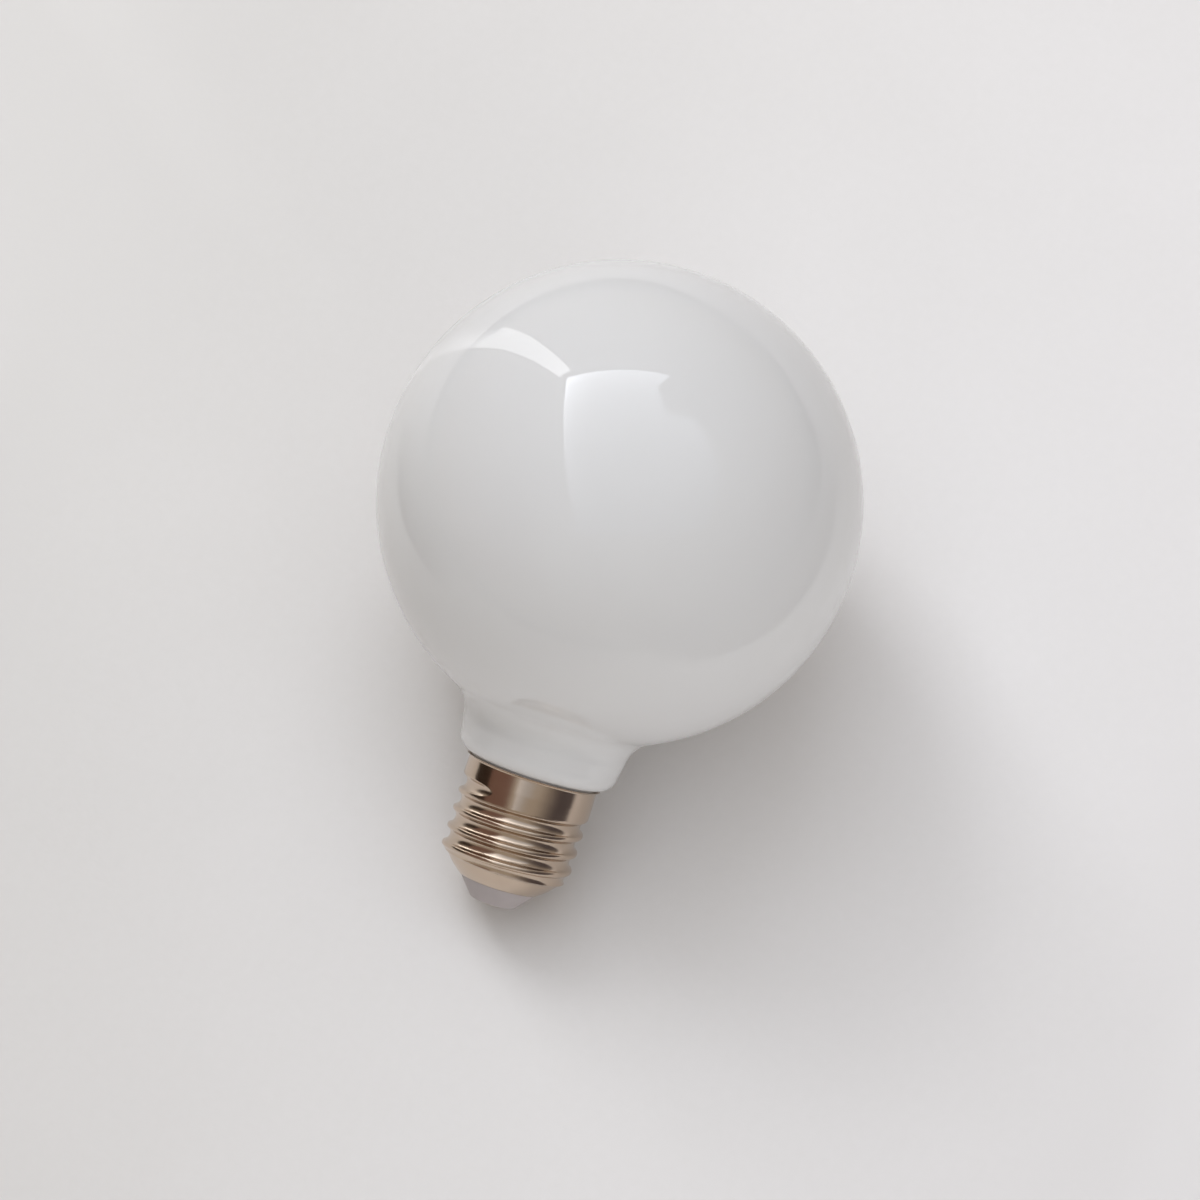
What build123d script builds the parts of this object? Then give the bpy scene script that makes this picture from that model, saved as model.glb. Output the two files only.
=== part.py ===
from build123d import *

import os
from math import asin, atan, cos, degrees, pi, radians, sin, sqrt

# A globe lamp with a screw base, lying on its side as it comes to rest: on the widest part of
# the glass and on the last turn of the thread. Millimetres, +Z up, origin on the floor under
# the middle of the lamp, screw base toward -X.
#
# The lamp is drawn upright first, with the centre of the glass sphere at the origin and the
# screw base toward +Z, so every "at" below is a distance from the sphere's centre along the
# axis. The last step lays it down.

# Glass globe
GLOBE_R = 47.5          # a 95 mm globe
NECK_BLEND_R = 6.5      # hollow curve between the sphere and the neck
NECK_TOP_R = 16.6
SHOULDER_R = 3.4        # round shoulder of the neck above the cap
SHOULDER_END = 54.9     # a hair above the cap's rim
SPIGOT_R = 12.65        # end of the neck that stands inside the cap's skirt
SPIGOT_END = 59.2

# Screw cap: rim, skirt, thread, cone
RIM_AT = 55.2
RIM_R = 13.65           # flared lip
LIP = 0.5               # how far down the flare reaches
LIP_HOLLOW = 0.12       # how much the flare curves in
SKIRT_R = 13.0
THREAD_R = 13.1         # crest radius
PITCH = 3.629
CREST_ROUND = 0.75      # the crest is a narrow bead
ROOT_ROUND = 1.30       # the groove is broader, and the two arcs are tangent
CREST_FLAT = 0.02       # the blank stands this far under the bead's full height
GROOVE_AT = 60.9        # middle of the groove where it reaches its full depth
GROOVE_TURN = 63.3      # and its turn about the axis there, in degrees
GROOVE_TURNS = 5        # whole turns, the last of them past the end of the barrel
RUN_IN_R = 18.0         # the groove leaves the skirt along an arc of this radius
LAST_CREST_AT = 73.9    # where the blank starts to fall to the cone
LAST_CREST_ROUND = 0.8
CONE_TOP = (11.4, 75.2)
CONE_MID = (9.75, 77.05)
CONE_END = (8.0, 78.5)

# Insulator and centre contact
COLLAR_R = 7.75         # insulator where it leaves the metal
COLLAR_AT = 78.5
PLUG_R = 7.0            # part of the insulator seated inside the cap
PLUG_AT = 75.6
INSULATOR_END = 82.4
INSULATOR_END_R = 4.5
CONTACT_R = 2.4
CONTACT_PROUD = 0.45
CONTACT_BEVEL = 0.2
SHANK_R = 0.9

# Two tangent arcs make the thread's section. Their radii and the pitch give its depth.
ARCS = CREST_ROUND + ROOT_ROUND
THREAD_DEPTH = ARCS - sqrt(ARCS**2 - (PITCH / 2) ** 2)
ROOT_R = THREAD_R - THREAD_DEPTH
INFLECTION = PITCH / 2 * ROOT_ROUND / ARCS
BLANK_R = THREAD_R - CREST_FLAT


def turned(outline):
    """A solid turned about the lamp's axis from a closed outline in the XZ plane."""
    return revolve(make_face(outline), Axis.Z)


def glass_globe():
    """The sphere, the hollow blend, the neck, its shoulder and the spigot, as one outline."""
    blend_r = NECK_TOP_R + NECK_BLEND_R
    blend_at = sqrt((GLOBE_R + NECK_BLEND_R) ** 2 - blend_r**2)
    share = GLOBE_R / (GLOBE_R + NECK_BLEND_R)
    on_sphere = (blend_r * share, blend_at * share)
    half = (atan(blend_at / blend_r)) / 2
    blend_mid = (
        blend_r - NECK_BLEND_R * cos(half),
        blend_at - NECK_BLEND_R * sin(half),
    )
    neck_top = (NECK_TOP_R, blend_at)
    neck_end = (SPIGOT_R + SHOULDER_R, SHOULDER_END - SHOULDER_R)
    shoulder_mid = (
        SPIGOT_R + SHOULDER_R * cos(pi / 4),
        SHOULDER_END - SHOULDER_R + SHOULDER_R * sin(pi / 4),
    )
    shoulder_end = (SPIGOT_R, SHOULDER_END)
    outline = Plane.XZ * (
        ThreePointArc((0, -GLOBE_R), (GLOBE_R, 0), on_sphere)
        + ThreePointArc(on_sphere, blend_mid, neck_top)
        + Line(neck_top, neck_end)
        + ThreePointArc(neck_end, shoulder_mid, shoulder_end)
        + Polyline(shoulder_end, (SPIGOT_R, SPIGOT_END), (0, SPIGOT_END), (0, -GLOBE_R))
    )
    return turned(outline)


def cap_blank():
    """The cap before its thread: rim, skirt, plain barrel and rounded cone, with both seats."""
    fall = radians(60)
    fallen = (
        BLANK_R - LAST_CREST_ROUND * (1 - cos(fall)),
        LAST_CREST_AT + LAST_CREST_ROUND * sin(fall),
    )
    fall_mid = (
        BLANK_R - LAST_CREST_ROUND * (1 - cos(fall / 2)),
        LAST_CREST_AT + LAST_CREST_ROUND * sin(fall / 2),
    )
    flare_mid = ((RIM_R + SKIRT_R) / 2 - LIP_HOLLOW, RIM_AT + LIP / 2)
    outline = Plane.XZ * (
        Line((SPIGOT_R, RIM_AT), (RIM_R, RIM_AT))
        + ThreePointArc((RIM_R, RIM_AT), flare_mid, (SKIRT_R, RIM_AT + LIP))
        + Polyline(
            (SKIRT_R, RIM_AT + LIP),
            (SKIRT_R, RIM_AT + 3.0),
            (BLANK_R, RIM_AT + 3.6),
            (BLANK_R, LAST_CREST_AT),
        )
        + ThreePointArc((BLANK_R, LAST_CREST_AT), fall_mid, fallen)
        + Line(fallen, CONE_TOP)
        + ThreePointArc(CONE_TOP, CONE_MID, CONE_END)
        + Polyline(
            CONE_END,
            (PLUG_R, COLLAR_AT),
            (PLUG_R, PLUG_AT),
            (0, PLUG_AT),
            (0, SPIGOT_END),
            (SPIGOT_R, SPIGOT_END),
            (SPIGOT_R, RIM_AT),
        )
    )
    return turned(outline)


def groove_section(place):
    """The groove's section in a plane whose +X points away from the axis, at radius ROOT_R."""
    half = PITCH / 2
    rise = THREAD_DEPTH - CREST_ROUND
    inflection = (ROOT_ROUND - sqrt(ROOT_ROUND**2 - INFLECTION**2), INFLECTION)
    top = THREAD_DEPTH - CREST_FLAT / 3
    top_y = half - sqrt(CREST_ROUND**2 - (top - rise) ** 2)
    mid_y = (INFLECTION + top_y) / 2
    mid = (rise + sqrt(CREST_ROUND**2 - (half - mid_y) ** 2), mid_y)
    clear = THREAD_DEPTH + 0.8
    section = (
        ThreePointArc((inflection[0], -inflection[1]), (0, 0), inflection)
        + ThreePointArc(inflection, mid, (top, top_y))
        + Polyline((top, top_y), (clear, top_y), (clear, -top_y), (top, -top_y))
        + ThreePointArc((top, -top_y), (mid[0], -mid_y), (inflection[0], -inflection[1]))
    )
    return place * make_face(section)


def groove_turn(number):
    """One turn of the groove, swept along its helix."""
    helix = Rot(0, 0, GROOVE_TURN) * Helix(
        PITCH, PITCH, ROOT_R, center=(0, 0, GROOVE_AT + number * PITCH)
    )
    start = helix @ 0
    place = Plane(origin=start, x_dir=(start.X, start.Y, 0), z_dir=helix % 0)
    return sweep(groove_section(place), path=helix, is_frenet=True)


def groove_run_in():
    """The groove's beginning: it dips into the skirt along an arc tangent to the helix."""
    helix = Rot(0, 0, GROOVE_TURN) * Helix(PITCH, PITCH, ROOT_R, center=(0, 0, GROOVE_AT))
    start = helix @ 0
    ahead = helix % 0
    outward = Vector(start.X, start.Y, 0).normalized()
    centre = start - outward * RUN_IN_R
    # the angle of arc that lifts the groove's bottom from ROOT_R past THREAD_R
    lift = ((THREAD_R + 0.15) ** 2 - ROOT_R**2) / (4 * RUN_IN_R * (RUN_IN_R - ROOT_R))
    turn = 2 * asin(sqrt(lift))

    def on_arc(angle):
        return centre + outward * RUN_IN_R * cos(angle) - ahead * RUN_IN_R * sin(angle)

    path = ThreePointArc(on_arc(turn), on_arc(turn / 2), start)
    place = Plane(origin=path @ 0, x_dir=(path @ 0) - centre, z_dir=path % 0)
    return sweep(groove_section(place), path=path, is_frenet=True)


def screw_shell():
    shell = cap_blank()
    for number in range(GROOVE_TURNS):
        shell -= groove_turn(number)
    return shell - groove_run_in()


def insulator():
    outline = Plane.XZ * Polyline(
        (SHANK_R, PLUG_AT),
        (PLUG_R, PLUG_AT),
        (PLUG_R, COLLAR_AT),
        (COLLAR_R, COLLAR_AT),
        (INSULATOR_END_R, INSULATOR_END),
        (SHANK_R, INSULATOR_END),
        (SHANK_R, PLUG_AT),
    )
    return turned(outline)


def centre_contact():
    """A rivet-like button: a flat head on the insulator's end and a shank down its middle."""
    top = INSULATOR_END + CONTACT_PROUD
    outline = Plane.XZ * Polyline(
        (0, top),
        (0, PLUG_AT),
        (SHANK_R, PLUG_AT),
        (SHANK_R, INSULATOR_END),
        (CONTACT_R, INSULATOR_END),
        (CONTACT_R, top - CONTACT_BEVEL),
        (CONTACT_R - CONTACT_BEVEL, top),
        (0, top),
    )
    return turned(outline)


def barrel_radius(at, turn):
    """Radius of the threaded barrel at one place, from the section's arcs and its last fall."""
    middle = GROOVE_AT + PITCH * (turn - GROOVE_TURN) / 360
    off = abs((at - middle + PITCH / 2) % PITCH - PITCH / 2)
    if off < INFLECTION:
        radius = ROOT_R + ROOT_ROUND - sqrt(ROOT_ROUND**2 - off**2)
    else:
        radius = THREAD_R - CREST_ROUND + sqrt(CREST_ROUND**2 - (PITCH / 2 - off) ** 2)
    past = max(at - LAST_CREST_AT, 0)
    fall = LAST_CREST_ROUND - sqrt(LAST_CREST_ROUND**2 - past**2)
    return min(radius, BLANK_R - fall)


def rest_tilt():
    """How far the base hangs below level, in radians, when the glass and the thread both touch."""
    places = [LAST_CREST_AT - 4 + 0.02 * step for step in range(235)]
    low, high = radians(20), radians(40)
    for _ in range(30):
        tilt = (low + high) / 2
        reach = max(barrel_radius(at, 180) * cos(tilt) + at * sin(tilt) for at in places)
        if reach < GLOBE_R:
            low = tilt
        else:
            high = tilt
    return low


def lying(tilt):
    """Where the upright lamp goes when it lies down, with its lowest side toward its own -X."""
    end = INSULATOR_END * cos(tilt) + INSULATOR_END_R * sin(tilt)
    return Plane(
        origin=((end - GLOBE_R) / 2, 0, GLOBE_R),
        x_dir=(-sin(tilt), 0, cos(tilt)),
        z_dir=(-cos(tilt), 0, -sin(tilt)),
    ).location


def main():
    tilt = rest_tilt()
    place = lying(tilt)
    print("axis below level, degrees:", round(degrees(tilt), 3))
    for name, at in (("rim", RIM_AT), ("contact", INSULATOR_END + CONTACT_PROUD)):
        print(name, (place * Pos(0, 0, at)).position)
    pieces = {
        "glass_globe": glass_globe(),
        "screw_shell": screw_shell(),
        "insulator": insulator(),
        "centre_contact": centre_contact(),
    }
    os.makedirs("parts", exist_ok=True)
    for name, piece in pieces.items():
        laid = place * piece
        export_step(laid, f"parts/{name}.step")
        print(name, round(laid.volume, 1), "mm3, lowest", round(laid.bounding_box().min.Z, 3))


if __name__ == "__main__":
    main()
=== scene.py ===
# %% [markdown]
# # A globe lamp lying on a pale sheet
# The real object is a white globe lamp: a bubble of opal glass with a short neck, a nickel-plated screw
# shell pressed from sheet metal, a small plastic insulator and a centre contact. It lies on its side, and
# nothing on it moves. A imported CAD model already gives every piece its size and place, so this lesson
# starts by loading that model, and then gives each piece the form and finish that a camera sees.

from math import atan2, cos, hypot, pi, radians, sin, sqrt, tau

import bmesh
import bpy
from mathutils import Matrix, Vector


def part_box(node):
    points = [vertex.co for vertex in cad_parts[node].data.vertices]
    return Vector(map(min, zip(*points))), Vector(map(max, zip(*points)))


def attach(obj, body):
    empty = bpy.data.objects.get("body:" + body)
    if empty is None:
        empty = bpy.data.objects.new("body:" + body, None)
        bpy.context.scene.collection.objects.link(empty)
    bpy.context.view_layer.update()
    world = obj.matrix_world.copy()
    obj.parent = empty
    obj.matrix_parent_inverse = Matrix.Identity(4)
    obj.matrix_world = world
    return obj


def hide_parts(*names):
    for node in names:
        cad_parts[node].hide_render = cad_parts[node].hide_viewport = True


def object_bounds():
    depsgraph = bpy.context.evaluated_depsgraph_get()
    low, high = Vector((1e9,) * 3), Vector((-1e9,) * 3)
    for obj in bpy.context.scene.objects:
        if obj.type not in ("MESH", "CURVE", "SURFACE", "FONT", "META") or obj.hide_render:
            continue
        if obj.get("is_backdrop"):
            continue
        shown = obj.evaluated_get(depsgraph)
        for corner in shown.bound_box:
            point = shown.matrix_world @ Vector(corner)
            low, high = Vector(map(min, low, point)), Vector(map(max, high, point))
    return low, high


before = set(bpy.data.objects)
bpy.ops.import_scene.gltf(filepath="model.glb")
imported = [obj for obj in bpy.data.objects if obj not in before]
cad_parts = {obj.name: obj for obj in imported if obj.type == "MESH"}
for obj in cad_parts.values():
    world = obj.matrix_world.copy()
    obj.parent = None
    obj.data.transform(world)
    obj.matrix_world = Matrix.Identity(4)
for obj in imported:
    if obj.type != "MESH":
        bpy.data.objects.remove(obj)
cad_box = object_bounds()
scene = bpy.context.scene
scene.view_settings.view_transform = "Standard"
print("nodes:", ", ".join(sorted(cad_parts)))
print("box, mm:", [[round(1000 * c, 2) for c in corner] for corner in cad_box])

# %% [markdown]
# ## Where the lamp lies
# The lamp is round about one axis, so each piece is easiest to draw upright, with the centre of the glass
# sphere at zero and the screw base toward +Z. It rests on the widest part of the glass and on the last turn
# of the thread, which tips its axis 29 degrees below level. One matrix lays every upright mesh down. It is
# applied to the mesh and not to the object, so each object stays at the origin and Object coordinates are
# metres in the room. The materials turn them back into the lamp's own upright coordinates with a Mapping
# node.

# %% The matrix that lays the lamp down
MM = 0.001
GLOBE_R = 47.5
TILT = 29.1313
SPHERE_CENTRE = Vector((13.3339 * MM, 0, GLOBE_R * MM))
LAY_TURN = radians(-90 - TILT)
LAID = Matrix.Translation(SPHERE_CENTRE) @ Matrix.Rotation(LAY_TURN, 4, "Y")

low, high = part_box("glass_globe")
drawn_end = SPHERE_CENTRE.x / MM + GLOBE_R
print("globe's farthest point, mm: frame", round(high[0] / MM, 3), "drawn", round(drawn_end, 3))

# %% [markdown]
# ## The camera
# The lamp is seen from above and a little from the base end, through a long lens from about a metre away.
# The right, up and back directions of the camera follow from its azimuth and elevation. The picture is
# taken as 1200 pixels square, and the camera is moved sideways until the middle of the globe falls on its
# own pixel. A shift of the lens could do the same, but then other views would be shifted too.

# %% Camera at the photograph's angle
AZIMUTH = radians(-69.602)
ELEVATION = radians(64.986)
DISTANCE = 0.9741
PIXELS = 1200
GLOBE_PIXEL = (619.9, 503.5)

right = Vector((cos(AZIMUTH), sin(AZIMUTH), 0))
back = Vector((sin(AZIMUTH) * cos(ELEVATION), -cos(AZIMUTH) * cos(ELEVATION), sin(ELEVATION)))
up = back.cross(right)

lens = bpy.data.cameras.new("camera")
lens.lens = 150
lens.sensor_width = 36
pixel = DISTANCE * lens.sensor_width / lens.lens / PIXELS
camera = bpy.data.objects.new("camera", lens)
place = SPHERE_CENTRE + back * DISTANCE
place -= right * pixel * (GLOBE_PIXEL[0] - PIXELS / 2)
place -= up * pixel * (PIXELS / 2 - GLOBE_PIXEL[1])
camera.matrix_world = Matrix.Translation(place) @ Matrix((right, up, back)).transposed().to_4x4()
scene.collection.objects.link(camera)
scene.camera = camera
print("one pixel at the globe is", round(pixel / MM, 3), "mm")

# %% [markdown]
# ## Helpers for materials
# Colours are picked in sRGB, as a colour picker shows them, and Blender's shaders work in linear light, so
# one function converts them. A second function adds any node, with its settings and its links, for shaders
# and geometry trees alike. A third starts a material from an empty tree.

# %% Colour, node and material helpers
def linear(code):
    """An sRGB hex colour as the linear RGBA that the shaders use."""
    parts = [int(code[place:place + 2], 16) / 255 for place in (1, 3, 5)]
    return [part / 12.92 if part <= 0.04045 else ((part + 0.055) / 1.055) ** 2.4 for part in parts] + [1]


def add_node(tree, kind, inputs=None, **settings):
    """A new node. An input that is a socket is linked, and any other becomes the socket's value."""
    made = tree.nodes.new(kind)
    for name, value in settings.items():
        setattr(made, name, value)
    for name, value in (inputs or {}).items():
        if isinstance(value, bpy.types.NodeSocket):
            tree.links.new(value, made.inputs[name])
        else:
            made.inputs[name].default_value = value
    return made


def empty_material(name):
    material = bpy.data.materials.new(name)
    material.use_nodes = True
    material.node_tree.nodes.clear()
    return material, material.node_tree


print("mid grey in linear light:", round(linear("#808080")[0], 3))

# %% [markdown]
# ## The sheet that the lamp lies on
# It is a matte, off-white board with a very faint mottle, and it catches the lamp's soft shadow. A flat
# disc is enough for its shape. It is made 3 metres in radius, so that a low camera still sees it all round.
# Two sizes of noise give the mottle: clouds of about 60 mm and a grain of about 2 mm. A third, very wide
# step makes the board a little lighter toward -Y, over the width of the picture. That step is painted
# light, standing for a side that is more brightly lit.

# %% Pale board under the lamp
board_finish, tree = empty_material("matte painted board")
where = add_node(tree, "ShaderNodeTexCoord").outputs["Object"]
cloud = add_node(tree, "ShaderNodeTexNoise", {"Vector": where, "Scale": 1 / (60 * MM), "Detail": 2.0})
grain = add_node(tree, "ShaderNodeTexNoise", {"Vector": where, "Scale": 1 / (2.2 * MM), "Detail": 3.0})
mottle = add_node(tree, "ShaderNodeMix", {
    0: 0.35,
    2: cloud.outputs[0],
    3: grain.outputs[0],
}, data_type="FLOAT")
# Painted light: the colour grows lighter toward -Y, as if that side of the board were more brightly lit.
side = add_node(tree, "ShaderNodeSeparateXYZ", {0: where}).outputs["Y"]
wide = add_node(tree, "ShaderNodeMapRange", {
    "Value": side,
    "From Min": 0.14,
    "From Max": -0.14,
    "To Min": -0.35,
    "To Max": 0.85,
}).outputs[0]
share = add_node(tree, "ShaderNodeMath", {0: mottle.outputs[0], 1: 0.5, 2: wide}, operation="MULTIPLY_ADD")
tone = add_node(tree, "ShaderNodeMix", {
    "Factor": share.outputs[0],
    "A": linear("#D8D6D4"),
    "B": linear("#E8E6E6"),
}, data_type="RGBA")
relief = add_node(tree, "ShaderNodeBump", {"Height": grain.outputs[0], "Distance": 0.05 * MM})
board_shader = add_node(tree, "ShaderNodeBsdfPrincipled", {
    "Base Color": tone.outputs["Result"],
    "Normal": relief.outputs[0],
    "Roughness": 0.5,
    "Specular IOR Level": 0.4,
})
add_node(tree, "ShaderNodeOutputMaterial", {"Surface": board_shader.outputs[0]})

BOARD_R = 3.0
shape = bmesh.new()
bmesh.ops.create_circle(shape, cap_ends=True, segments=96, radius=BOARD_R)
board_mesh = bpy.data.meshes.new("pale_board")
shape.to_mesh(board_mesh)
shape.free()
board_mesh.materials.append(board_finish)
board = bpy.data.objects.new("pale_board", board_mesh)
scene.collection.objects.link(board)
board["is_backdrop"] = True
print("board radius, m:", BOARD_R)

# %% [markdown]
# ## The light in the room
# The picture has one large soft panel overhead, a narrow upright strip of light that meets the panel's
# corner, and dim, even surroundings. The glass mirrors all of them, so they need their real outlines, and
# light-giving cards are a better choice than lamps. The cards light everything but hide from the camera,
# which can then pass above them. The dim surroundings are a warm world colour. A low camera looks past the
# board's far edge, and there it sees a paler, neutral tone instead, so that the backdrop stays plain.

# %% Even surroundings
ROOM_LIGHT = 0.43
ROOM_SEEN = 0.62
world = bpy.data.worlds.new("dim even room")
world.use_nodes = True
tree = world.node_tree
tree.nodes.clear()
by_camera = add_node(tree, "ShaderNodeLightPath").outputs["Is Camera Ray"]
either = {"Value": by_camera, "To Min": ROOM_LIGHT, "To Max": ROOM_SEEN}
strength = add_node(tree, "ShaderNodeMapRange", either).outputs[0]
tint = add_node(tree, "ShaderNodeMix", {
    "Factor": by_camera,
    "A": linear("#FFF4E6"),
    "B": linear("#F6F5F4"),
}, data_type="RGBA").outputs["Result"]
room = add_node(tree, "ShaderNodeBackground", {"Color": tint, "Strength": strength})
add_node(tree, "ShaderNodeOutputWorld", {"Surface": room.outputs[0]})
scene.world = world
print("surroundings:", ROOM_LIGHT, "and as the camera sees them:", ROOM_SEEN)


# %% [markdown]
# A card of light is a flat sheet that glows, like a photographer's diffuser. One helper makes them all: it
# draws the sheet through its corners, unrolls a four-sided one for fades, and hides it from the camera. An
# area lamp would be simpler, but it can't have an irregular outline.

# %% Cards of light
def card(name, corners, finish, **seen_by):
    """A flat sheet through the corners, for the studio. seen_by switches off kinds of ray."""
    mesh = bpy.data.meshes.new(name)
    mesh.from_pydata([tuple(corner) for corner in corners], [], [tuple(range(len(corners)))])
    mesh.materials.append(finish)
    unrolled = mesh.uv_layers.new(name="across and up")
    for loop, place in zip(unrolled.data, ((0, 0), (1, 0), (1, 1), (0, 1))):
        loop.uv = place
    made = bpy.data.objects.new(name, mesh)
    made.visible_camera = False
    for ray, seen in seen_by.items():
        setattr(made, "visible_" + ray, seen)
    scene.collection.objects.link(made)
    made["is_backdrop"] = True
    return made


# %% [markdown]
# The panel's outline is written from its brightest corner: first the distance along its long edge, then the
# distance away from that edge, in metres. Its far end is irregular. The light is strongest beside the long
# edge and fades across the panel, as it does on a wall that a window lights from one side. The material
# works that out from the place on the panel: each fade is an amount, and the distances along and away from
# the long edge over which it falls to a third.

# %% Overhead panel
PANEL_CORNER = Vector((0.504, 0.638, 0.9475))
LONG_EDGE = Vector((-0.931, -0.365, 0))
SHORT_EDGE = Vector((0.365, -0.931, 0))
PANEL_LEAST = 0.46
PANEL_FADES = ((4.3, 0.38, 6.0), (6.7, 0.45, 0.12))
PANEL_OUTLINE = (
    (0, 0), (0, 0.83), (0.17, 0.70), (0.42, 0.75), (0.40, 1.02), (0.85, 1.35), (1.45, 1.35), (1.45, 0),
)

panel_glow, tree = empty_material("panel fading from its corner")
where = add_node(tree, "ShaderNodeTexCoord").outputs["Object"]
from_corner = add_node(
    tree, "ShaderNodeVectorMath", {0: where, 1: PANEL_CORNER}, operation="SUBTRACT"
).outputs[0]
strength = PANEL_LEAST
for amount, along_reach, away_reach in PANEL_FADES:
    slope = -(LONG_EDGE / along_reach + SHORT_EDGE / away_reach)
    power = add_node(
        tree, "ShaderNodeVectorMath", {0: from_corner, 1: slope}, operation="DOT_PRODUCT"
    ).outputs["Value"]
    share = add_node(tree, "ShaderNodeMath", {0: power}, operation="EXPONENT").outputs[0]
    part = {0: share, 1: amount, 2: strength}
    strength = add_node(tree, "ShaderNodeMath", part, operation="MULTIPLY_ADD").outputs[0]
glow = add_node(tree, "ShaderNodeEmission", {"Color": linear("#F4F8FF"), "Strength": strength})
add_node(tree, "ShaderNodeOutputMaterial", {"Surface": glow.outputs[0]})

corners = [PANEL_CORNER + LONG_EDGE * along + SHORT_EDGE * away for along, away in PANEL_OUTLINE]
card("overhead_panel", corners, panel_glow)
print("panel corner, m:", [round(c, 3) for c in PANEL_CORNER])

# %% [markdown]
# The strip stands upright near the panel's corner, like a narrow window. It is a four-sided card, a little
# slanted, and it glows more strongly toward its head. One Map Range node turns the height into the
# strength. A row of smaller cards could give the same fade, but with steps that the glass would show.

# %% Upright strip of light
STRIP_AWAY = 0.92
STRIP_TOWARD = radians(51.5)
outward = Vector((cos(STRIP_TOWARD), sin(STRIP_TOWARD), 0))
across = Vector((-outward.y, outward.x, 0))
strip_foot = Vector((SPHERE_CENTRE.x, 0, 0)) + outward * STRIP_AWAY
STRIP_OUTLINE = ((-0.02, 0.0), (0.11, 0.0), (0.06, 0.98), (-0.06, 0.98))
STRIP_TALL = 0.98
STRIP_FOOT_GLOW = 2.2
STRIP_HEAD_GLOW = 5.6

strip_glow, tree = empty_material("strip light, brighter upward")
where = add_node(tree, "ShaderNodeTexCoord").outputs["Object"]
height = add_node(tree, "ShaderNodeSeparateXYZ", {0: where}).outputs["Z"]
climb = {"Value": height, "From Max": STRIP_TALL, "To Min": STRIP_FOOT_GLOW, "To Max": STRIP_HEAD_GLOW}
strength = add_node(tree, "ShaderNodeMapRange", climb).outputs[0]
glow = add_node(tree, "ShaderNodeEmission", {"Color": linear("#FFFFFF"), "Strength": strength})
add_node(tree, "ShaderNodeOutputMaterial", {"Surface": glow.outputs[0]})

corners = [strip_foot + across * side + Vector((0, 0, height)) for side, height in STRIP_OUTLINE]
card("upright_strip", corners, strip_glow)
print("strip stands", STRIP_AWAY, "m from the globe")

# %% [markdown]
# Cards alone make a very soft shadow. One area lamp behind the same corner gives the shadow its core. A
# weaker, low one on the opposite side fills the dark side of the globe, as a white wall there would. Both
# are hidden from mirror-like rays, because the cards already stand for them in the reflections.

# %% Soft key lamp and low fill
KEY_AWAY = 2.3
KEY_HEIGHT = radians(47)
KEY_ENERGY = 15.5
FILL_AWAY = 1.4
FILL_TOWARD = radians(-138)
FILL_HEIGHT = radians(15)
FILL_ENERGY = 4.7


def area_lamp(name, turn, height, away, size, energy):
    """A soft lamp that looks at the globe from that direction and distance."""
    light = bpy.data.lights.new(name, "AREA")
    light.shape = "RECTANGLE"
    light.size, light.size_y = size
    light.energy = energy
    light.color = linear("#FAFCFF")[:3]
    lamp = bpy.data.objects.new(name, light)
    toward = Vector((cos(turn) * cos(height), sin(turn) * cos(height), sin(height)))
    lamp.location = SPHERE_CENTRE + toward * away
    lamp.rotation_euler = toward.to_track_quat("Z", "Y").to_euler()
    lamp.visible_camera = False
    lamp.visible_glossy = False
    scene.collection.objects.link(lamp)
    print(name, "at", [round(c, 2) for c in lamp.location], "m")


area_lamp("soft_key", STRIP_TOWARD, KEY_HEIGHT, KEY_AWAY, (0.80, 0.66), KEY_ENERGY)
area_lamp("low_fill", FILL_TOWARD, FILL_HEIGHT, FILL_AWAY, (0.90, 0.50), FILL_ENERGY)

# %% [markdown]
# ## Cards that only a shiny surface sees
# The glass also shows where the board's bright part ends, as the edge of a large grey disc, and the nickel
# shows dark things that stand beside it. Photographers put such shapes there with grey and black cards.
# Here they are cards that only mirror-like rays can see, so they neither light nor shade anything. The dim
# surround is a flat ring just above the board, and its inner edge follows distances that are given for each
# direction.

# %% Dim surround, seen in reflections
EDGE_OF_BRIGHT = (
    (-176, 0.54), (-152, 0.46), (-133, 0.42), (-109, 0.40), (-81, 0.36), (-66, 0.325), (-55, 0.31),
    (-46, 0.335), (-29, 0.53), (-14, 0.66), (0, 0.55), (12, 0.36), (22, 0.32), (33, 0.343), (43, 0.361),
    (51, 0.37), (90, 0.42), (135, 0.50),
)
mirror_only = {"diffuse": False, "transmission": False, "volume_scatter": False, "shadow": False}


def bright_reach(turn):
    """The distance to the edge in one direction, in degrees, from the two nearest given ones."""
    stops = [(EDGE_OF_BRIGHT[-1][0] - 360, EDGE_OF_BRIGHT[-1][1]), *EDGE_OF_BRIGHT]
    stops.append((EDGE_OF_BRIGHT[0][0] + 360, EDGE_OF_BRIGHT[0][1]))
    for (before, near), (after, far) in zip(stops, stops[1:]):
        if before <= turn <= after:
            share = (turn - before) / (after - before)
            share = share * share * (3 - 2 * share)
            return near + (far - near) * share


SURROUND_R = 2.9
SURROUND_LIFT = 1 * MM
rim_steps = 180
centre = Vector((SPHERE_CENTRE.x, 0, SURROUND_LIFT))
points = []
for step in range(rim_steps):
    turn = -180 + 360 * step / rim_steps
    toward = Vector((cos(radians(turn)), sin(radians(turn)), 0))
    points += [centre + toward * bright_reach(turn), centre + toward * SURROUND_R]
faces = []
for step in range(rim_steps):
    here = 2 * step
    there = 2 * ((step + 1) % rim_steps)
    faces.append((here, here + 1, there + 1, there))
surround_mesh = bpy.data.meshes.new("dim_surround")
surround_mesh.from_pydata([tuple(point) for point in points], [], faces)
surround_glow, tree = empty_material("surround fading outward")
where = add_node(tree, "ShaderNodeTexCoord").outputs["Object"]
away = add_node(tree, "ShaderNodeVectorMath", {0: where, 1: centre}, operation="DISTANCE").outputs["Value"]
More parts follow.
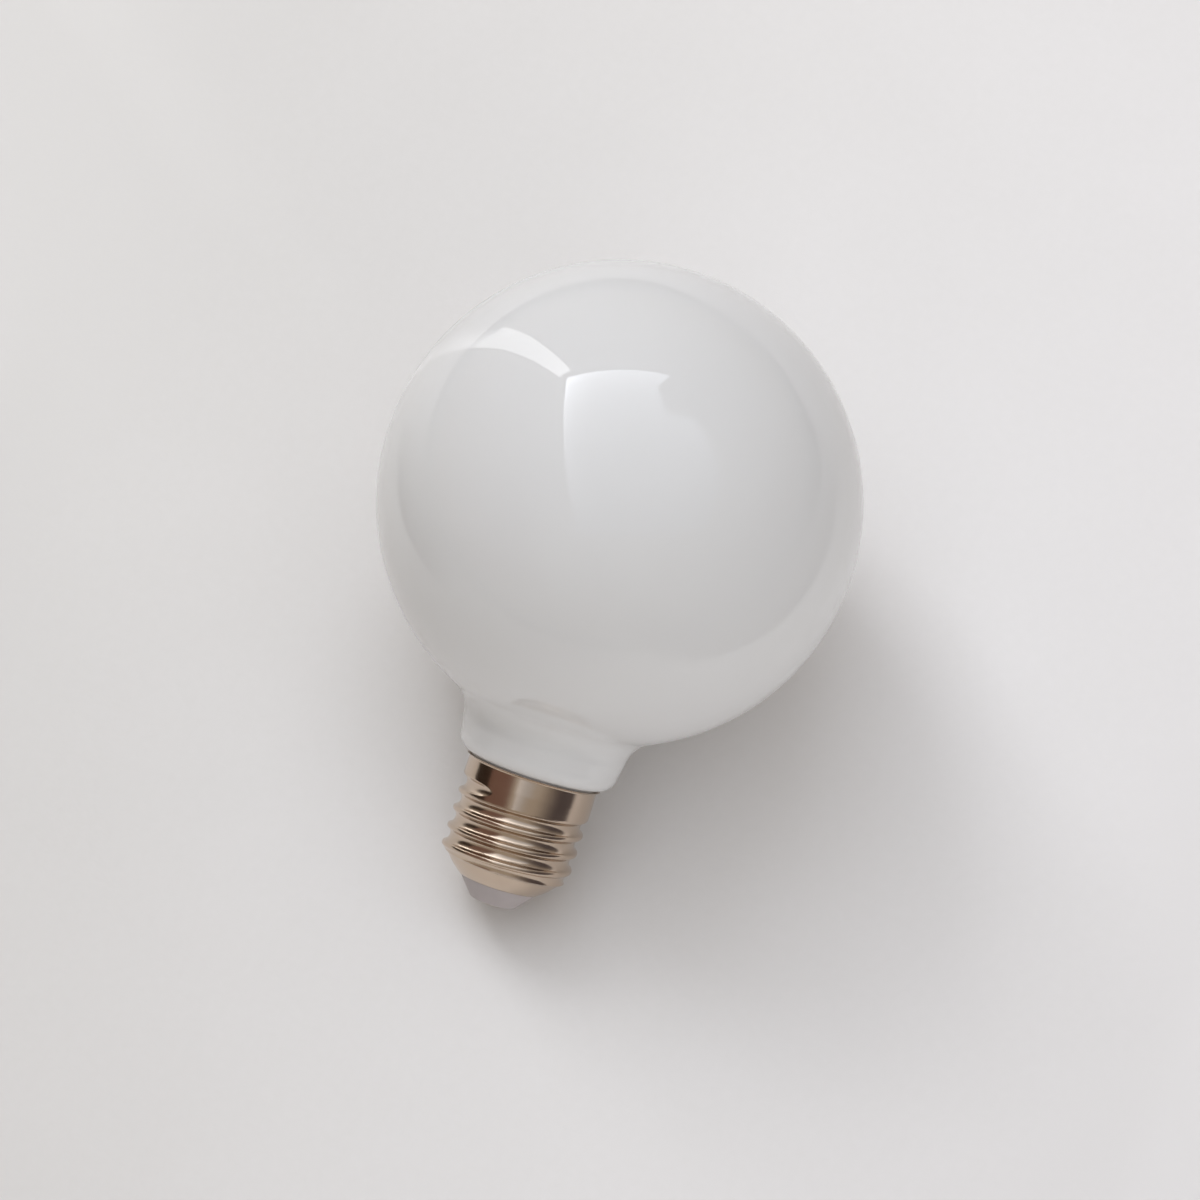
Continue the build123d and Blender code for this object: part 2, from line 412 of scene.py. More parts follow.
dim = add_node(tree, "ShaderNodeMapRange", {
    "Value": away,
    "From Min": 0.3,
    "From Max": 1.2,
    "To Min": 0.15,
    "To Max": 0.40,
}).outputs[0]
glow = add_node(tree, "ShaderNodeEmission", {"Color": linear("#FFFCF9"), "Strength": dim})
add_node(tree, "ShaderNodeOutputMaterial", {"Surface": glow.outputs[0]})
surround_mesh.materials.append(surround_glow)
surround = bpy.data.objects.new("dim_surround", surround_mesh)
surround.visible_camera = False
for ray, seen in mirror_only.items():
    setattr(surround, "visible_" + ray, seen)
scene.collection.objects.link(surround)
surround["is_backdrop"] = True
print("surround faces:", len(faces))

# %% [markdown]
# The foot of the strip also throws a bright patch along the board, toward the globe. The glass shows it as
# a smear between the strip and the globe's edge. It is a long thin card just above the surround. Its light
# is added to what lies under it, grows with the distance from the globe, and fades toward one of its long
# edges.

# %% Bright patch on the board, seen in reflections
PATCH_NEAR = ((0.030, 0.066), (0.044, 0.068))
PATCH_FAR = ((0.487, 0.789), (0.588, 0.708))
PATCH_GLOW = 3.0
PATCH_START = 0.05
PATCH_LIFT = 2 * MM

corner = {}
for key, (sharp, soft) in (("near", PATCH_NEAR), ("far", PATCH_FAR)):
    corner[key, "sharp"] = Vector((SPHERE_CENTRE.x + sharp[0], sharp[1], PATCH_LIFT))
    corner[key, "soft"] = Vector((SPHERE_CENTRE.x + soft[0], soft[1], PATCH_LIFT))

patch_glow, tree = empty_material("patch fading to one edge")
where = add_node(tree, "ShaderNodeTexCoord").outputs["Object"]
inside = {}
for edge, side in (("sharp", 1), ("soft", -1)):
    run = (corner["far", edge] - corner["near", edge]).normalized()
    inward = Vector((run.y, -run.x, 0)) * side
    off = add_node(
        tree, "ShaderNodeVectorMath", {0: where, 1: corner["near", edge]}, operation="SUBTRACT"
    ).outputs[0]
    inside[edge] = add_node(
        tree, "ShaderNodeVectorMath", {0: off, 1: inward}, operation="DOT_PRODUCT"
    ).outputs["Value"]
whole = add_node(tree, "ShaderNodeMath", {0: inside["sharp"], 1: inside["soft"]}, operation="ADD").outputs[0]
share = add_node(tree, "ShaderNodeMath", {0: inside["soft"], 1: whole}, operation="DIVIDE").outputs[0]
fade = add_node(
    tree, "ShaderNodeMapRange", {"Value": share, "From Max": 0.8}, interpolation_type="SMOOTHSTEP"
).outputs[0]
away = add_node(tree, "ShaderNodeVectorMath", {0: where, 1: centre}, operation="DISTANCE").outputs["Value"]
beyond = add_node(tree, "ShaderNodeMath", {0: away, 1: PATCH_START}, operation="SUBTRACT").outputs[0]
growth = add_node(tree, "ShaderNodeMath", {0: beyond, 1: PATCH_GLOW}, operation="MULTIPLY").outputs[0]
strength = add_node(tree, "ShaderNodeMath", {0: growth, 1: fade}, operation="MULTIPLY").outputs[0]
glow = add_node(tree, "ShaderNodeEmission", {"Color": linear("#FFFFFF"), "Strength": strength}).outputs[0]
clear = add_node(tree, "ShaderNodeBsdfTransparent").outputs[0]
added = add_node(tree, "ShaderNodeAddShader", {0: glow, 1: clear})
add_node(tree, "ShaderNodeOutputMaterial", {"Surface": added.outputs[0]})

corners = [corner["near", "sharp"], corner["near", "soft"], corner["far", "soft"], corner["far", "sharp"]]
card("board_patch", corners, patch_glow, **mirror_only)
print("patch length, m:", round((corner["far", "sharp"] - corner["near", "sharp"]).length, 2))

# %% [markdown]
# The screw shell is nearly a cylinder, so it mirrors one thin fan of directions, square to the lamp's axis.
# Each dark card is placed in that fan by its heights above the horizon as the shell sees them, in degrees,
# and by its half width.

# %% Dark cards beside the screw shell
SHELL_MIDDLE = Vector((-44, 0, 17)) * MM
AXIS_UP = Vector((-sin(radians(TILT)), 0, cos(radians(TILT))))
CARD_AWAY = 0.14


def fan_direction(side, height):
    """The direction in the fan at that height in degrees, on the +Y side (1) or the -Y side (-1)."""
    rise = sin(radians(height)) / AXIS_UP.z
    return AXIS_UP * rise + Vector((0, side * sqrt(1 - rise * rise), 0))


def feathered(name, colour, strength, low_share, high_share):
    """A glowing card that fades out at its sides, and over those shares of its height at its ends."""
    material, tree = empty_material(name)
    place = add_node(tree, "ShaderNodeTexCoord").outputs["UV"]
    u, v, _ = add_node(tree, "ShaderNodeSeparateXYZ", {0: place}).outputs
    solid = 1.0
    for along, start, end in ((u, 0.0, 0.45), (u, 1.0, 0.55), (v, 0.0, low_share), (v, 1.0, 1 - high_share)):
        ramp = {"Value": along, "From Min": start, "From Max": end}
        part = add_node(tree, "ShaderNodeMapRange", ramp, interpolation_type="SMOOTHSTEP").outputs[0]
        solid = add_node(tree, "ShaderNodeMath", {0: part, 1: solid}, operation="MULTIPLY").outputs[0]
    clear = add_node(tree, "ShaderNodeBsdfTransparent").outputs[0]
    glow = add_node(tree, "ShaderNodeEmission", {"Color": linear(colour), "Strength": strength}).outputs[0]
    mixed = add_node(tree, "ShaderNodeMixShader", {0: solid, 1: clear, 2: glow})
    add_node(tree, "ShaderNodeOutputMaterial", {"Surface": mixed.outputs[0]})
    return material


for name, side, lowest, highest, half, colour, strength, low_share, high_share in (
    ("black_card", 1, -8, 27, 0.10, "#806858", 0.15, 0.12, 0.1),
    ("brown_card", 1, 22, 59, 0.18, "#8A6E64", 0.75, 0.1, 0.25),
    ("dark_card", -1, -8, 52, 0.20, "#70686C", 0.55, 0.12, 0.6),
):
    foot = SHELL_MIDDLE + fan_direction(side, lowest) * CARD_AWAY
    head = SHELL_MIDDLE + fan_direction(side, highest) * CARD_AWAY
    wide = Vector((half, 0, 0))
    corners = (foot - wide, foot + wide, head + wide, head - wide)
    card(name, corners, feathered(name, colour, strength, low_share, high_share), **mirror_only)
    print(name, "from", lowest, "to", highest, "degrees")

# %% [markdown]
# ## Drawing round pieces
# Three of the four pieces are turned shapes, and the fourth starts as one. A lathe function spins a profile
# about the upright axis. A Screw modifier could do it as well, but a few lines of mesh code give control of
# the rows, and close the poles with a single point. Profiles are pairs of radius and distance along the
# axis, in millimetres. Two helpers draw them: one gives points along the arc through three points, and one
# rounds the corners of a run of straight lines, because no real edge is perfectly sharp.

# %% Profile helpers
def bow(first, middle, last, steps):
    """Points on the circular arc from first through middle to last, without first."""
    (ax, ay), (bx, by), (cx, cy) = first, middle, last
    twice = 2 * (ax * (by - cy) + bx * (cy - ay) + cx * (ay - by))
    aa, bb, cc = ax * ax + ay * ay, bx * bx + by * by, cx * cx + cy * cy
    ox = (aa * (by - cy) + bb * (cy - ay) + cc * (ay - by)) / twice
    oy = (aa * (cx - bx) + bb * (ax - cx) + cc * (bx - ax)) / twice
    radius = hypot(ax - ox, ay - oy)
    start = atan2(ay - oy, ax - ox)
    sweep = (atan2(cy - oy, cx - ox) - start) % tau
    if (atan2(by - oy, bx - ox) - start) % tau > sweep:
        sweep -= tau
    turns = [start + sweep * step / steps for step in range(1, steps + 1)]
    return [(ox + radius * cos(turn), oy + radius * sin(turn)) for turn in turns]


def straight(first, last, spacing):
    """Evenly spaced points from first to last, without first."""
    steps = max(1, round(hypot(last[0] - first[0], last[1] - first[1]) / spacing))
    return [
        (first[0] + (last[0] - first[0]) * step / steps, first[1] + (last[1] - first[1]) * step / steps)
        for step in range(1, steps + 1)
    ]


def eased(points, reach, steps=4):
    """The run of lines through the points, each inner corner rounded over that reach."""
    run = [points[0]]
    for before, corner, after in zip(points, points[1:], points[2:]):
        near = Vector(corner) + (Vector(before) - Vector(corner)).normalized() * reach
        far = Vector(corner) + (Vector(after) - Vector(corner)).normalized() * reach
        for step in range(steps + 1):
            t = step / steps
            run.append(tuple(near * (1 - t) ** 2 + Vector(corner) * 2 * t * (1 - t) + far * t * t))
    return run + [points[-1]]


# %% [markdown]
# The lathe takes a finished profile and a number of columns, and gives back a closed mesh. The second
# helper finishes any piece: it lays the mesh down, shades it smooth except where two faces meet at more
# than 50 degrees, and hides the CAD node that the piece stands for.

# %% Lathe
def lathe(name, profile, columns):
    """An upright closed solid, spun from a profile whose first and last points are on the axis."""
    turns = [tau * column / columns for column in range(columns)]
    spokes = [(cos(turn) * MM, sin(turn) * MM) for turn in turns]
    rows = profile[1:-1]
    points = [(radius * x, radius * y, at * MM) for radius, at in rows for x, y in spokes]
    bottom = len(points)
    points += [(0, 0, profile[0][1] * MM), (0, 0, profile[-1][1] * MM)]
    faces = []
    for column in range(columns):
        beside = (column + 1) % columns
        faces.append((bottom, beside, column))
        last = (len(rows) - 1) * columns
        faces.append((bottom + 1, last + column, last + beside))
        for row in range(0, last, columns):
            faces.append((row + column, row + beside, row + columns + beside, row + columns + column))
    mesh = bpy.data.meshes.new(name)
    mesh.from_pydata(points, [], faces)
    shape = bmesh.new()
    shape.from_mesh(mesh)
    bmesh.ops.recalc_face_normals(shape, faces=shape.faces)
    shape.to_mesh(mesh)
    shape.free()
    made = bpy.data.objects.new(name, mesh)
    scene.collection.objects.link(made)
    return made


def lay_down(piece, node):
    """Puts an upright piece in its place, smooths it, and lets it stand for its CAD node."""
    piece.data.transform(LAID)
    piece.data.shade_smooth()
    piece.data.set_sharp_from_angle(angle=radians(50))
    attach(piece, "root")
    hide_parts(node)
    tops = [vertex.co for vertex in piece.data.vertices]
    triangles = sum(len(face.vertices) - 2 for face in piece.data.polygons)
    print(piece.name, triangles, "triangles, lowest", round(min(point.z for point in tops) / MM, 3), "mm")


# %% [markdown]
# ## Opal glass
# The globe is taken to be blown glass, milky all through. Light sinks into the milk and comes back white,
# with a faint cool cast, while the smooth skin above it mirrors the room. That is an IOR of 1.5 over a pale
# diffuse base, with very little roughness. Blowing leaves the skin very slightly wavy, which bends the
# edges of reflections, and the milk is a little uneven. Both come from noise, at about 20 and 40 mm.

# %% Opal glass finish
opal_glass, tree = empty_material("blown opal glass")
where = add_node(tree, "ShaderNodeTexCoord").outputs["Object"]
upright = add_node(tree, "ShaderNodeMapping", {
    "Vector": where,
    "Location": SPHERE_CENTRE,
    "Rotation": (0, LAY_TURN, 0),
}, vector_type="TEXTURE").outputs[0]
milk = add_node(tree, "ShaderNodeTexNoise", {"Vector": upright, "Scale": 1 / (40 * MM), "Detail": 2.0})
milk_tone = add_node(tree, "ShaderNodeMix", {
    "Factor": milk.outputs[0],
    "A": linear("#D6D6D7"),
    "B": linear("#DCDCDC"),
}, data_type="RGBA")
waves = add_node(tree, "ShaderNodeTexNoise", {"Vector": upright, "Scale": 1 / (20 * MM), "Detail": 1.0})
skin = add_node(tree, "ShaderNodeBump", {"Height": waves.outputs[0], "Distance": 0.02 * MM})
gloss = add_node(tree, "ShaderNodeMapRange", {"Value": milk.outputs[0], "To Min": 0.015, "To Max": 0.04})
glass_shader = add_node(tree, "ShaderNodeBsdfPrincipled", {
    "Base Color": milk_tone.outputs["Result"],
    "Roughness": gloss.outputs[0],
    "Normal": skin.outputs[0],
    "IOR": 1.5,
})
add_node(tree, "ShaderNodeOutputMaterial", {"Surface": glass_shader.outputs[0]})
print("opal glass nodes:", len(tree.nodes))

# %% [markdown]
# ## The globe
# The bubble is a sphere that flows through a hollow curve into the neck, and the neck rounds over and goes
# into the metal cap. The profile is the same as in the CAD model: an arc, a second arc that touches it, a
# straight neck and a round shoulder.

# %% Glass globe
NECK_TOP_R = 16.6
NECK_BLEND_R = 6.5
SHOULDER_R = 3.4
SHOULDER_END = 54.9
SPIGOT_R = 12.65
SPIGOT_END = 59.2

blend_r = NECK_TOP_R + NECK_BLEND_R
blend_at = sqrt((GLOBE_R + NECK_BLEND_R) ** 2 - blend_r**2)
touch = GLOBE_R / (GLOBE_R + NECK_BLEND_R)
on_sphere = (blend_r * touch, blend_at * touch)
half = atan2(blend_at, blend_r) / 2
blend_mid = (blend_r - NECK_BLEND_R * cos(half), blend_at - NECK_BLEND_R * sin(half))
neck_end = (SPIGOT_R + SHOULDER_R, SHOULDER_END - SHOULDER_R)
shoulder_mid = (SPIGOT_R + SHOULDER_R * cos(pi / 4), neck_end[1] + SHOULDER_R * sin(pi / 4))
shoulder_end = (SPIGOT_R, SHOULDER_END)

profile = [(0, -GLOBE_R)]
profile += bow((0, -GLOBE_R), (GLOBE_R, 0), on_sphere, 120)
profile += bow(on_sphere, blend_mid, (NECK_TOP_R, blend_at), 20)
profile += straight((NECK_TOP_R, blend_at), neck_end, 0.5)
profile += bow(neck_end, shoulder_mid, shoulder_end, 16)
profile += [(SPIGOT_R, SPIGOT_END), (0, SPIGOT_END)]
globe = lathe("opal_globe", profile, 256)
globe.data.materials.append(opal_glass)
lay_down(globe, "glass_globe")

# %% [markdown]
# ## Nickel plate
# The screw shell is brass or steel sheet, drawn into a cup, rolled, and plated with nickel in a barrel.
# Nickel is a slightly warm grey mirror. Handling and the rolling tools leave it a little dull in streaks
# that run round the shell, so the roughness varies along the axis, and a very shallow bump draws the
# rolling lines. Real rolling lines are finer than the 0.4 mm drawn here, but finer ones wouldn't show at
# this size.

# %% Nickel finish
nickel, tree = empty_material("barrel-plated nickel")
where = add_node(tree, "ShaderNodeTexCoord").outputs["Object"]
upright = add_node(tree, "ShaderNodeMapping", {
    "Vector": where,
    "Location": SPHERE_CENTRE,
    "Rotation": (0, LAY_TURN, 0),
}, vector_type="TEXTURE").outputs[0]
along = add_node(
    tree, "ShaderNodeVectorMath", {0: upright, 1: (0.08, 0.08, 1)}, operation="MULTIPLY"
).outputs[0]
lines = add_node(tree, "ShaderNodeTexNoise", {"Vector": along, "Scale": 1 / (0.4 * MM), "Detail": 2.0})
smudge = add_node(tree, "ShaderNodeTexNoise", {"Vector": upright, "Scale": 1 / (5 * MM), "Detail": 3.0})
plate_tone = add_node(tree, "ShaderNodeMix", {
    "Factor": smudge.outputs[0],
    "A": linear("#C6B3A0"),
    "B": linear("#D6C4B2"),
}, data_type="RGBA")
streaks = add_node(tree, "ShaderNodeMix", {
    0: 0.4,
    2: smudge.outputs[0],
    3: lines.outputs[0],
}, data_type="FLOAT")
dullness = add_node(tree, "ShaderNodeMapRange", {
    "Value": streaks.outputs[0],
    "From Min": 0.3,
    "From Max": 0.7,
    "To Min": 0.14,
    "To Max": 0.21,
})
rolled = add_node(tree, "ShaderNodeBump", {"Height": lines.outputs[0], "Distance": 0.0015 * MM})
nickel_shader = add_node(tree, "ShaderNodeBsdfPrincipled", {
    "Base Color": plate_tone.outputs["Result"],
    "Roughness": dullness.outputs[0],
    "Normal": rolled.outputs[0],
    "Metallic": 1.0,
})
add_node(tree, "ShaderNodeOutputMaterial", {"Surface": nickel_shader.outputs[0]})
print("nickel nodes:", len(tree.nodes))

# %% [markdown]
# ## The blank of the screw shell
# Before its thread is rolled, the shell is a plain cup: a flared rim, a skirt, a straight barrel and a
# rounded cone. The rows of points are 0.09 mm apart along the barrel, so that the thread, which is pressed
# in next, comes out smooth.

# %% Screw shell blank
RIM_AT = 55.2
RIM_R = 13.65
LIP = 0.5
LIP_HOLLOW = 0.12
SKIRT_R = 13.0
BLANK_R = 13.08
LAST_CREST_AT = 73.9
LAST_CREST_ROUND = 0.8
CONE_TOP = (11.4, 75.2)
CONE_MID = (9.75, 77.05)
CONE_END = (8.0, 78.5)
PLUG_R = 7.0
PLUG_AT = 75.6
ROW = 0.09

fall = radians(60)
fallen = (BLANK_R - LAST_CREST_ROUND * (1 - cos(fall)), LAST_CREST_AT + LAST_CREST_ROUND * sin(fall))
fall_mid = (
    BLANK_R - LAST_CREST_ROUND * (1 - cos(fall / 2)),
    LAST_CREST_AT + LAST_CREST_ROUND * sin(fall / 2),
)
flare_mid = ((RIM_R + SKIRT_R) / 2 - LIP_HOLLOW, RIM_AT + LIP / 2)

profile = [(0, SPIGOT_END), (SPIGOT_R, SPIGOT_END)]
profile += eased([(SPIGOT_R, RIM_AT), (RIM_R, RIM_AT), (RIM_R - 0.08, RIM_AT + 0.1)], 0.06)
profile += bow((RIM_R - 0.08, RIM_AT + 0.1), flare_mid, (SKIRT_R, RIM_AT + LIP), 8)
profile += straight((SKIRT_R, RIM_AT + LIP), (BLANK_R, RIM_AT + 3.6), ROW)
profile += straight((BLANK_R, RIM_AT + 3.6), (BLANK_R, LAST_CREST_AT), ROW)
profile += bow((BLANK_R, LAST_CREST_AT), fall_mid, fallen, 8)
profile += straight(fallen, CONE_TOP, ROW)
profile += bow(CONE_TOP, CONE_MID, CONE_END, 24)
profile += [(PLUG_R, CONE_END[1]), (PLUG_R, PLUG_AT), (0, PLUG_AT)]
shell = lathe("nickel_screw_shell", profile, 320)
print("rows in the blank:", len(profile))

# %% [markdown]
# ## Rolling the thread
# Real shells get their thread between two rollers that press a wide round groove into the cup. The thread
# follows a rule, so Geometry Nodes can roll it too: every point of the blank is pushed toward the axis,
# down to the groove's surface, and never outward. The groove's section is two arcs that touch, a broad one
# for the root and a small one for the crest. Where the groove begins, its bottom rises out of the metal
# along a large arc. The recipe is a list of steps, each with its name, its operation and what it works on,
# and the loop below turns each step into one Math node.

# %% Geometry Nodes tree: roll thread
THREAD_R = 13.06
PITCH = 3.629
CREST_ROUND = 0.60
ROOT_ROUND = 1.45
ARCS = CREST_ROUND + ROOT_ROUND
ROOT_R = THREAD_R - (ARCS - sqrt(ARCS**2 - (PITCH / 2) ** 2))

THREAD = {
    "Thread radius": THREAD_R * MM,
    "Root radius": ROOT_R * MM,
    "Pitch": PITCH * MM,
    "Crest round": CREST_ROUND * MM,
    "Root round": ROOT_ROUND * MM,
    "Arcs meet": PITCH / 2 * ROOT_ROUND / ARCS * MM,
    "Groove at": 60.9 * MM,
    "Groove turn": radians(63.3),
    "Run-in radius": 18.0 * MM,
    "Edge round": 0.15 * MM,
}

ROLLING = (
    ("turn", "ARCTAN2", "Y", "X"),
    ("turn from start", "SUBTRACT", "turn", "Groove turn"),
    ("turns, any", "DIVIDE", "turn from start", tau),
    ("part turn", "FRACT", "turns, any"),
    ("climb", "MULTIPLY", "part turn", "Pitch"),
    ("along", "SUBTRACT", "Z", "Groove at"),
    ("along helix", "SUBTRACT", "along", "climb"),
    ("in pitches", "DIVIDE", "along helix", "Pitch"),
    ("whole turns", "ROUND", "in pitches"),
    ("groove middle", "MULTIPLY", "whole turns", "Pitch"),
    ("signed off", "SUBTRACT", "along helix", "groove middle"),
    ("off", "ABSOLUTE", "signed off"),
    ("off squared", "MULTIPLY", "off", "off"),
    ("root squared", "MULTIPLY", "Root round", "Root round"),
    ("root left", "SUBTRACT", "root squared", "off squared"),
    ("root height", "SQRT", "root left"),
    ("root centre", "ADD", "Root radius", "Root round"),
    ("root surface", "SUBTRACT", "root centre", "root height"),
    ("half pitch", "MULTIPLY", "Pitch", 0.5),
    ("from crest", "SUBTRACT", "half pitch", "off"),
    ("from crest squared", "MULTIPLY", "from crest", "from crest"),
    ("crest squared", "MULTIPLY", "Crest round", "Crest round"),
    ("crest left", "SUBTRACT", "crest squared", "from crest squared"),
    ("crest height", "SQRT", "crest left"),
    ("crest centre", "SUBTRACT", "Thread radius", "Crest round"),
    ("crest surface", "ADD", "crest centre", "crest height"),
    ("in root", "LESS_THAN", "off", "Arcs meet"),
    ("crest to root", "SUBTRACT", "root surface", "crest surface"),
    ("root share", "MULTIPLY", "crest to root", "in root"),
    ("section", "ADD", "crest surface", "root share"),
    ("turns in", "ADD", "whole turns", "part turn"),
    ("turns before", "MULTIPLY", "turns in", -1.0),
    ("not negative", "MAXIMUM", "turns before", 0.0),
    ("half turn at most", "MINIMUM", "not negative", 0.5),
    ("run-in angle", "MULTIPLY", "half turn at most", tau),
    ("aside", "SUBTRACT", "Run-in radius", "Root radius"),
    ("cosine", "COSINE", "run-in angle"),
    ("sine", "SINE", "run-in angle"),
    ("aside cosine", "MULTIPLY", "aside", "cosine"),
    ("aside sine", "MULTIPLY", "aside", "sine"),
    ("aside sine squared", "MULTIPLY", "aside sine", "aside sine"),
    ("run-in squared", "MULTIPLY", "Run-in radius", "Run-in radius"),
    ("run-in left", "SUBTRACT", "run-in squared", "aside sine squared"),
    ("run-in height", "SQRT", "run-in left"),
    ("run-in bottom", "SUBTRACT", "run-in height", "aside cosine"),
    ("lift", "SUBTRACT", "run-in bottom", "Root radius"),
    ("pressed", "ADD", "section", "lift"),
    ("X squared", "MULTIPLY", "X", "X"),
    ("Y squared", "MULTIPLY", "Y", "Y"),
    ("radius squared", "ADD", "X squared", "Y squared"),
    ("true radius", "SQRT", "radius squared"),
    ("radius", "MAXIMUM", "true radius", 1e-6),
    ("new radius", "SMOOTH_MIN", "radius", "pressed", "Edge round"),
    ("shrink", "DIVIDE", "new radius", "radius"),
    ("new X", "MULTIPLY", "X", "shrink"),
    ("new Y", "MULTIPLY", "Y", "shrink"),
)

tree = bpy.data.node_groups.new("roll thread", "GeometryNodeTree")
tree.interface.new_socket("Geometry", in_out="INPUT", socket_type="NodeSocketGeometry")
tree.interface.new_socket("Geometry", in_out="OUTPUT", socket_type="NodeSocketGeometry")
for name in THREAD:
    tree.interface.new_socket(name, in_out="INPUT", socket_type="NodeSocketFloat")
tree.interface.new_socket("Finish", in_out="INPUT", socket_type="NodeSocketMaterial")

given = add_node(tree, "NodeGroupInput").outputs
position = add_node(tree, "GeometryNodeInputPosition").outputs[0]
value = {name: given[name] for name in THREAD}
for letter, socket in zip("XYZ", add_node(tree, "ShaderNodeSeparateXYZ", {0: position}).outputs):
    value[letter] = socket
for name, operation, *terms in ROLLING:
    inputs = {place: value.get(term, term) for place, term in enumerate(terms)}
    value[name] = add_node(tree, "ShaderNodeMath", inputs, operation=operation, label=name).outputs[0]

new_place = {0: value["new X"], 1: value["new Y"], 2: value["Z"]}
moved = add_node(tree, "ShaderNodeCombineXYZ", new_place).outputs[0]
pressing = {"Geometry": given["Geometry"], "Position": moved}
pressed = add_node(tree, "GeometryNodeSetPosition", pressing).outputs[0]
real = add_node(tree, "GeometryNodeRealizeInstances", {0: pressed}).outputs[0]
plated = add_node(tree, "GeometryNodeSetMaterial", {"Geometry": real, "Material": given["Finish"]}).outputs[0]
add_node(tree, "NodeGroupOutput", {"Geometry": plated})
print("roll thread nodes:", len(tree.nodes))

# %% [markdown]
# The tree's inputs are set by their identifiers before Blender first works out the shape. Then the result
# is taken as a plain mesh and the modifier is removed, so what is left is an ordinary piece.

# %% Roll the shell
rolling = shell.modifiers.new("roll thread", "NODES")
rolling.node_group = tree
settings = {**THREAD, "Finish": nickel}
for socket in tree.interface.items_tree:
    if socket.item_type == "SOCKET" and socket.name in settings:
        rolling[socket.identifier] = settings[socket.name]
evaluated = shell.evaluated_get(bpy.context.evaluated_depsgraph_get())
rolled_mesh = bpy.data.meshes.new_from_object(evaluated)
shell.modifiers.remove(rolling)
shell.data = rolled_mesh
lay_down(shell, "screw_shell")

# %% [markdown]
# ## The insulator and the contact
# The insulator is a moulded plastic cone with a satin skin: pale grey, with a fine grain from its mould.
# The finish is a pale base with medium roughness, which varies in patches of about 4 mm. An even roughness
# would look like a painted surface.

# %% Insulator plastic
plastic, tree = empty_material("moulded satin plastic")
where = add_node(tree, "ShaderNodeTexCoord").outputs["Object"]
grain = add_node(tree, "ShaderNodeTexNoise", {"Vector": where, "Scale": 1 / (0.5 * MM), "Detail": 2.0})
blush = add_node(tree, "ShaderNodeTexNoise", {"Vector": where, "Scale": 1 / (4 * MM), "Detail": 2.0})
plastic_tone = add_node(tree, "ShaderNodeMix", {
    "Factor": blush.outputs[0],
    "A": linear("#A29A9A"),
    "B": linear("#AFA7A7"),
}, data_type="RGBA")
mould = add_node(tree, "ShaderNodeBump", {"Height": grain.outputs[0], "Distance": 0.01 * MM})
satin = add_node(tree, "ShaderNodeMapRange", {"Value": blush.outputs[0], "To Min": 0.38, "To Max": 0.5})
plastic_shader = add_node(tree, "ShaderNodeBsdfPrincipled", {
    "Base Color": plastic_tone.outputs["Result"],
    "Roughness": satin.outputs[0],
    "Normal": mould.outputs[0],
    "IOR": 1.5,
})
add_node(tree, "ShaderNodeOutputMaterial", {"Surface": plastic_shader.outputs[0]})
print("insulator plastic nodes:", len(tree.nodes))

# %% [markdown]
# The insulator's profile runs from its plug out to the collar, down the cone and across the flat end. The
# edges are eased over up to half a millimetre, as a mould leaves them. The bore for the contact is left
# out, because the button covers it.

# %% Insulator
COLLAR_R = 7.75
COLLAR_AT = 78.5
INSULATOR_END = 82.4
INSULATOR_END_R = 4.5
profile = [(0, PLUG_AT)]
profile += eased([(PLUG_R, PLUG_AT), (PLUG_R, COLLAR_AT - 0.02), (PLUG_R, COLLAR_AT)], 0.01, 1)
profile += eased([
    (COLLAR_R - 0.3, COLLAR_AT), (COLLAR_R, COLLAR_AT), (COLLAR_R - 0.3, COLLAR_AT + 0.36),
], 0.12)
profile += eased([
    (COLLAR_R - 0.3, COLLAR_AT + 0.36), (INSULATOR_END_R, INSULATOR_END), (0.5, INSULATOR_END),
], 0.45, 6)[1:]
profile += [(0, INSULATOR_END)]
insulator = lathe("moulded_insulator", profile, 160)
insulator.data.materials.append(plastic)
lay_down(insulator, "insulator")

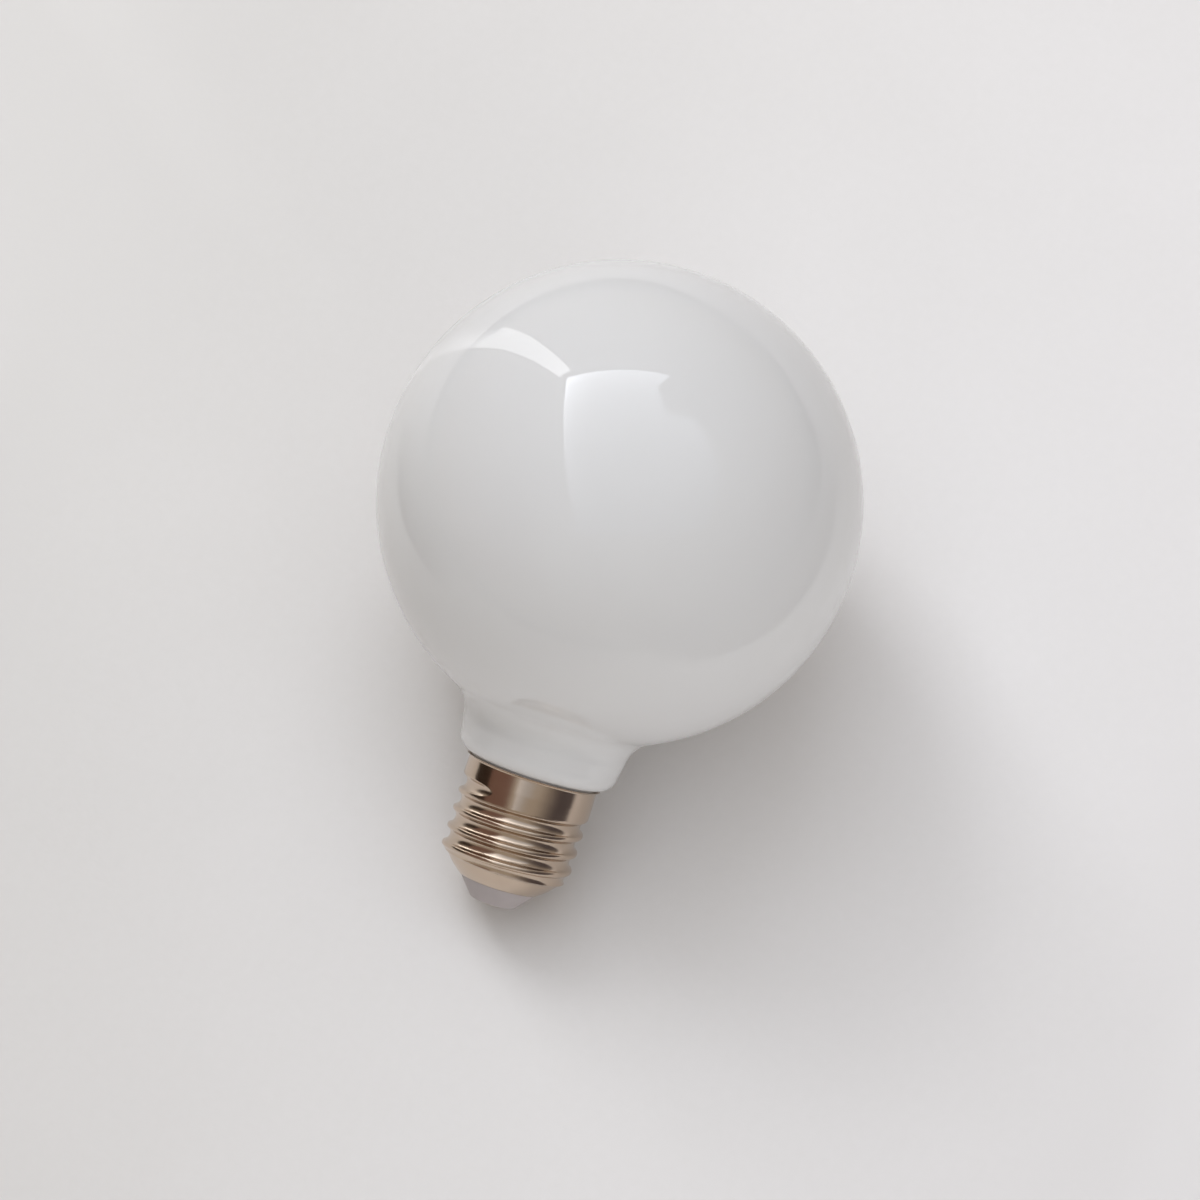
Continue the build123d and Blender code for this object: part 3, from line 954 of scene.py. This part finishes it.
# %% [markdown]
# The contact is taken to be brass with a thin coat of tin, which goes dull in use: a metal with a fairly
# rough, slightly cloudy skin. The photograph shows only a dark trace of it, so this finish is a guess.

# %% Contact metal
tinned, tree = empty_material("tinned brass")
where = add_node(tree, "ShaderNodeTexCoord").outputs["Object"]
cloud = add_node(tree, "ShaderNodeTexNoise", {"Vector": where, "Scale": 1 / (0.8 * MM), "Detail": 3.0})
tin_tone = add_node(tree, "ShaderNodeMix", {
    "Factor": cloud.outputs[0],
    "A": linear("#A9A199"),
    "B": linear("#C9C3BB"),
}, data_type="RGBA")
dull = add_node(tree, "ShaderNodeMapRange", {"Value": cloud.outputs[0], "To Min": 0.3, "To Max": 0.45})
tin_shader = add_node(tree, "ShaderNodeBsdfPrincipled", {
    "Base Color": tin_tone.outputs["Result"],
    "Roughness": dull.outputs[0],
    "Metallic": 1.0,
})
add_node(tree, "ShaderNodeOutputMaterial", {"Surface": tin_shader.outputs[0]})
print("tinned brass nodes:", len(tree.nodes))

# %% [markdown]
# The real contact is like a rivet, with a low button outside and a shank through the insulator. Only the
# button can be seen, so only the button is made. It starts 0.2 mm inside the insulator's end, so that no
# gap shows.

# %% Centre contact
CONTACT_R = 2.4
CONTACT_END = INSULATOR_END + 0.45
CONTACT_SUNK = 0.2
profile = [(0, INSULATOR_END - CONTACT_SUNK)]
profile += eased([
    (CONTACT_R, INSULATOR_END - CONTACT_SUNK), (CONTACT_R, CONTACT_END), (0.3, CONTACT_END),
], 0.2)
profile += [(0, CONTACT_END)]
contact = lathe("centre_contact_button", profile, 96)
contact.data.materials.append(tinned)
lay_down(contact, "centre_contact")

# %% [markdown]
# ## The size of the dressed model
# The dressed model has to fill the same box as the CAD model. Both boxes are printed, in millimetres.

# %% Print the sizes
sizes = {"cad": cad_box, "visual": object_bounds()}
plain = {name: [[float(c) for c in corner] for corner in corners] for name, corners in sizes.items()}
for name, corners in plain.items():
    print(name, "box, mm:", [[round(c / MM, 3) for c in corner] for corner in corners])
